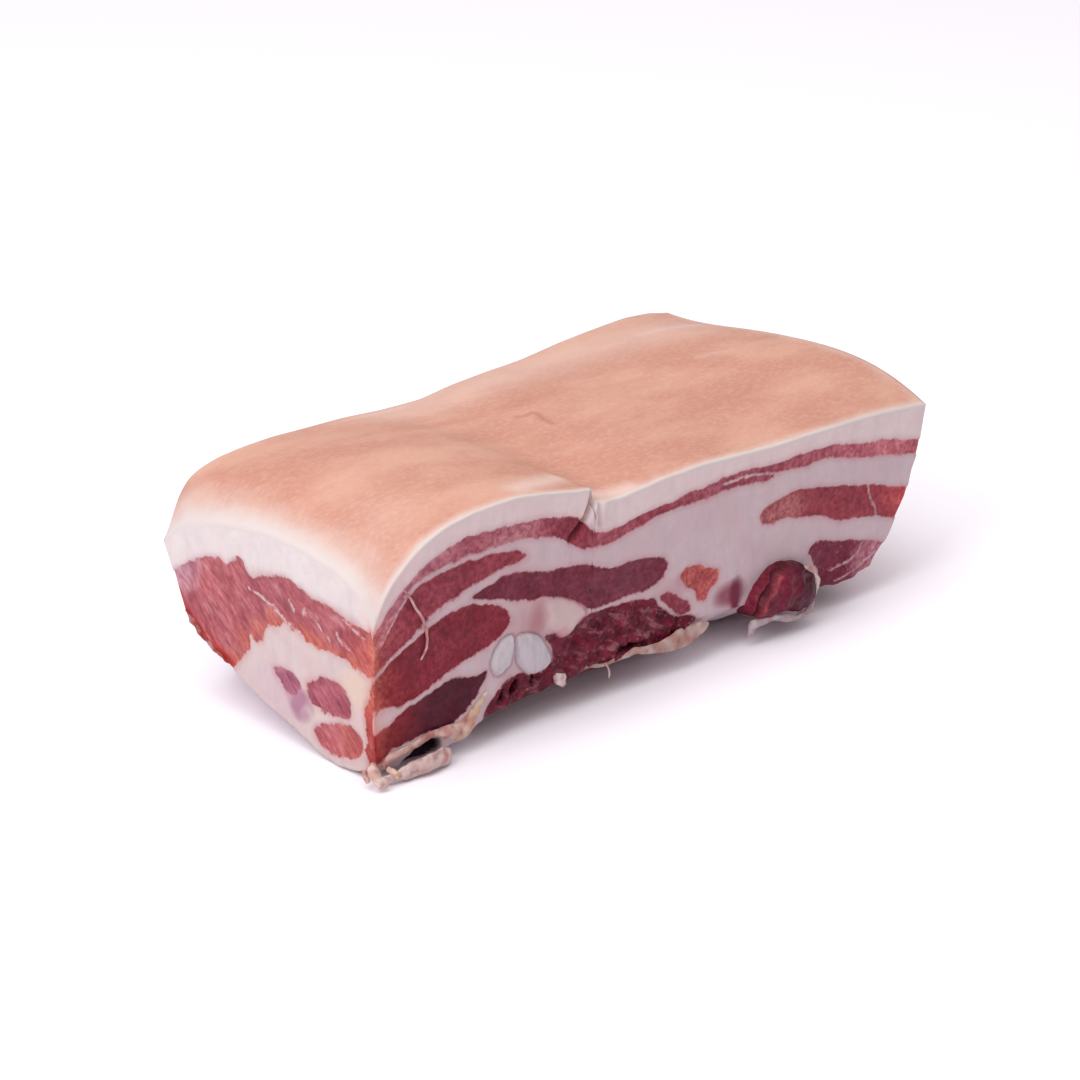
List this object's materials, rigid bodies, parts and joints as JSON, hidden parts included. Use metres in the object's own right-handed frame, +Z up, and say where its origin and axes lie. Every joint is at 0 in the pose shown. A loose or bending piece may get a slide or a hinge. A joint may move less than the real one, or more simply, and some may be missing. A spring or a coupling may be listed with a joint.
{
  "type": "pork belly slab",
  "caption": "Raw pork belly slab lying rind up, its cut faces showing back fat, a sheet of lean, belly muscles in soft fat and rib cartilage",
  "frame": {"origin": "on the table, below the middle of the slab", "axes": "+X along the slab towards its right end, +Y from the cut long face to the far side, +Z up through the rind"},
  "size_m": [0.25, 0.1365, 0.0828],
  "materials": {
    "rind_and_fat": "smooth moist rind over white back fat",
    "soft_fat": "moist soft fat",
    "lean": "moist cut lean",
    "dark_lean": "moist dark lean",
    "cartilage": "glossy bluish cartilage"
  },
  "bodies": {
    "root": {"rind_and_back_fat": "rind_and_fat", "upper_lean": "lean", "belly_fat": "soft_fat", "main_lean": "lean", "lower_lean": "dark_lean", "dark_lean": "dark_lean", "ragged_lean": "dark_lean", "flank_band": "lean", "flank_lean": "dark_lean", "small_lean": "lean", "end_lean_middle": "lean", "end_lean_low": "lean", "end_lean_small": "lean", "hanging_lump": "dark_lean", "rib_tip_left": "cartilage", "rib_tip_right": "cartilage"}
  },
  "joints": []
}
